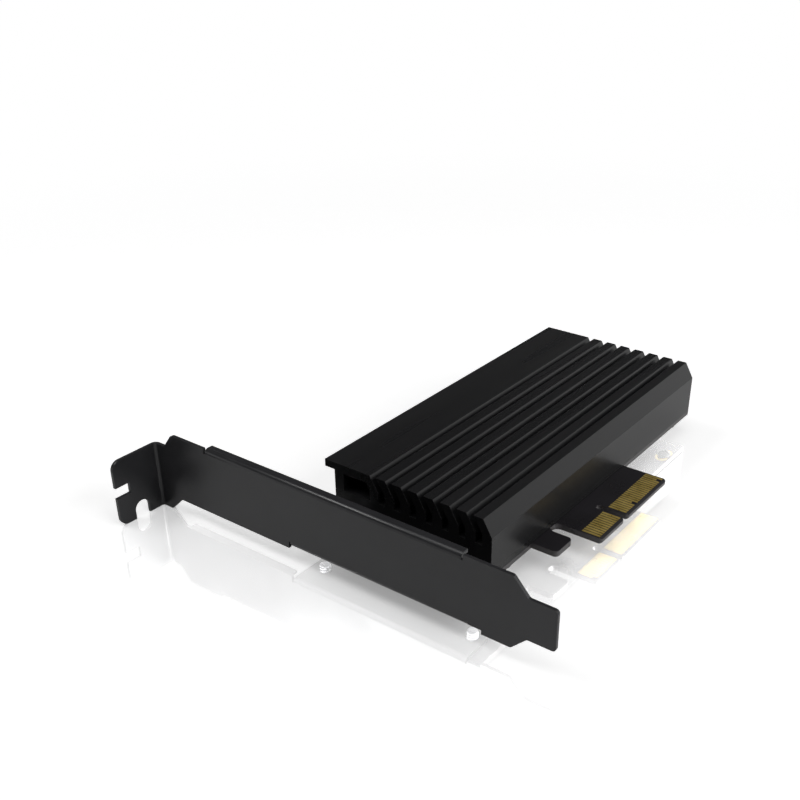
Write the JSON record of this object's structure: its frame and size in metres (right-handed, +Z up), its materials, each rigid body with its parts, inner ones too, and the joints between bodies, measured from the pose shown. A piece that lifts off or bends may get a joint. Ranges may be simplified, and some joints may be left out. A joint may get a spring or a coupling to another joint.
{
  "type": "nvme adapter card",
  "caption": "Adapter card for one solid-state drive: folded slot bracket, edge-connector board, and a finned heatsink clamping the drive in its socket between thermal pads.",
  "frame": {"origin": "on the bracket's outer face, where the board's component side meets the drive's centre line", "axes": "+X along the card away from the bracket, +Y across the card towards the bracket's screw tab, +Z up from the board's component side"},
  "size_m": [0.135, 0.12, 0.0224],
  "materials": {
    "bracket_powder_coat": "fine satin black powder coat on folded steel",
    "black_anodised_aluminium": "satin black anodising on an extrusion",
    "solder_mask": "black solder mask over glass-filled epoxy",
    "plated_copper": "thin bright plating on bare copper",
    "bare_copper_field": "dull plating on a bare copper field",
    "socket_plastic": "moulded heat-resistant plastic",
    "spring_metal": "plated spring strip",
    "solder_anchor_tin": "tinned steel strip",
    "capacitor_ceramic": "fired brown ceramic",
    "tinned_terminal": "bright tin",
    "standoff_brass": "turned and plated",
    "zinc_screw": "bright zinc",
    "black_screw": "black zinc",
    "drive_solder_mask": "green solder mask over glass-filled epoxy",
    "package_epoxy": "moulded epoxy, finely matt",
    "choke_ferrite": "pressed iron powder",
    "thermal_pad_silicone": "soft filled silicone, faintly dusty"
  },
  "bodies": {
    "root": {"bracket": "bracket_powder_coat", "bracket_screws": "zinc_screw", "adapter_board": "solder_mask", "edge_contacts_component_side": "plated_copper", "edge_contacts_solder_side": "plated_copper", "slot_lands_component_side": "plated_copper", "slot_lands_solder_side": "plated_copper", "heat_spreading_field": "bare_copper_field", "socket_housing": "socket_plastic", "socket_contacts_lower": "spring_metal", "socket_contacts_upper": "spring_metal", "socket_anchors": "solder_anchor_tin", "capacitor_bodies": "capacitor_ceramic", "capacitor_end_caps": "tinned_terminal", "drive_standoff": "standoff_brass", "drive_board": "drive_solder_mask", "drive_contacts_upper": "plated_copper", "drive_contacts_lower": "plated_copper", "drive_memory_packages": "package_epoxy", "drive_controller": "package_epoxy", "drive_buffer_memory": "package_epoxy", "drive_chokes": "choke_ferrite", "drive_capacitor_bodies": "capacitor_ceramic", "drive_capacitor_end_caps": "tinned_terminal", "drive_screw": "zinc_screw", "thermal_pad_lower": "thermal_pad_silicone", "thermal_pad_upper": "thermal_pad_silicone", "heatsink": "black_anodised_aluminium", "heatsink_screws": "black_screw"}
  },
  "joints": []
}
